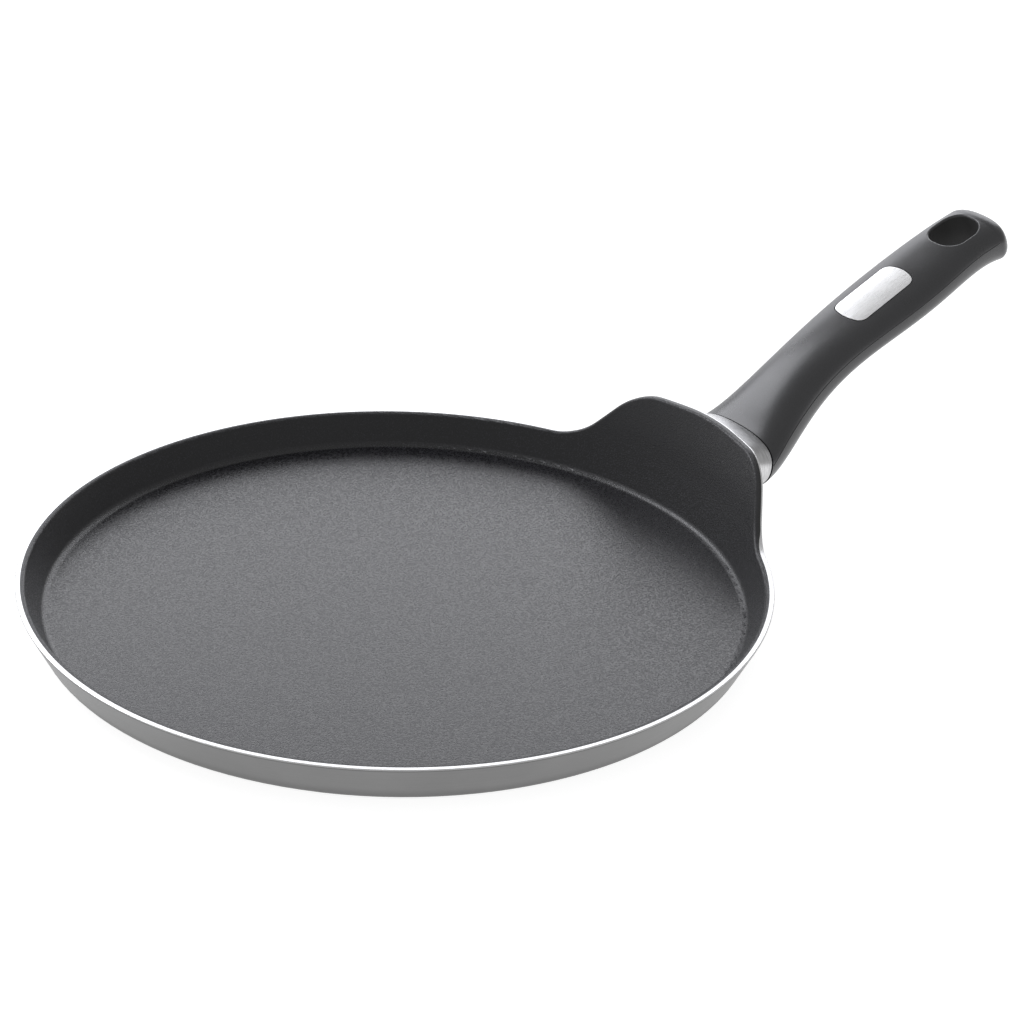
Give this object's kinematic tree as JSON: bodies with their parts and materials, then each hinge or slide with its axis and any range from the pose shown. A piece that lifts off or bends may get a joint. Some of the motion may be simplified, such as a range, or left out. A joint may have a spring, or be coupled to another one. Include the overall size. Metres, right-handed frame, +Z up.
{
  "type": "crepe pan",
  "caption": "Round low-walled crepe pan with a dark non-stick inside, a raised handle tab, a metal flame guard and a curved black moulded handle with a hanging hole.",
  "frame": {"origin": "centre of the flat base, where the pan stands", "axes": "+Z up, +X along the handle, +Y completes a right-handed frame"},
  "size_m": [0.4337, 0.2796, 0.1002],
  "materials": {
    "pan_metal": "satin",
    "nonstick": "satin",
    "stud_metal": "satin",
    "bracket_metal": "satin",
    "guard_metal": "brushed",
    "handle_plastic": "satin",
    "badge_metal": "satin",
    "screw_metal": "satin"
  },
  "bodies": {
    "root": {"pan_body": "pan_metal", "nonstick_coating": "nonstick", "weld_studs": "stud_metal", "handle_bracket": "bracket_metal", "flame_guard": "guard_metal", "handle": "handle_plastic", "badge": "badge_metal", "handle_screw": "screw_metal", "spring_washer": "screw_metal"}
  },
  "joints": []
}
